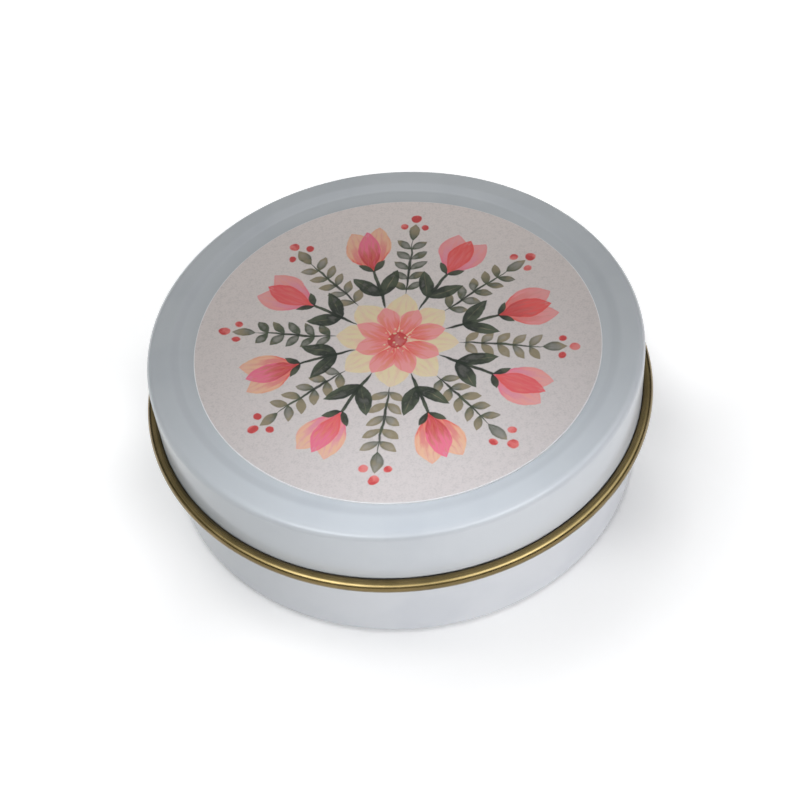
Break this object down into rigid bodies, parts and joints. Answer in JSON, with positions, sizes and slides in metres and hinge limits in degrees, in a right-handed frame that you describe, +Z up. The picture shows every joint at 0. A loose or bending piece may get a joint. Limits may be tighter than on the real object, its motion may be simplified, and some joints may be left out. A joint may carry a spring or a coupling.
{
  "type": "round slip-lid tin",
  "caption": "Round slip-lid mint tin: a drawn cup with a lift-off lid that has a recessed top panel, a rolled hem and a paper label.",
  "frame": {"origin": "centre of the foot ring, on the surface that the tin stands on", "axes": "+Z up along the tin's axis, the way the lid lifts off; -Y is the side towards the viewer"},
  "size_m": [0.066, 0.066, 0.0209],
  "materials": {
    "white_enamel": "glossy white enamel on tinplate",
    "gold_lacquer": "gold lacquer on tinplate, as on the inside and the rolled hem",
    "label_paper": "uncoated printed paper"
  },
  "bodies": {
    "base": {"base_shell": "white_enamel"},
    "lid": {"lid_shell": "white_enamel", "paper_label": "label_paper"}
  },
  "joints": [
    {"name": "lid_lift", "type": "slide", "parent": "base", "child": "lid", "axis": [0, 0, 1], "range_m": [0, 0.05]}
  ]
}
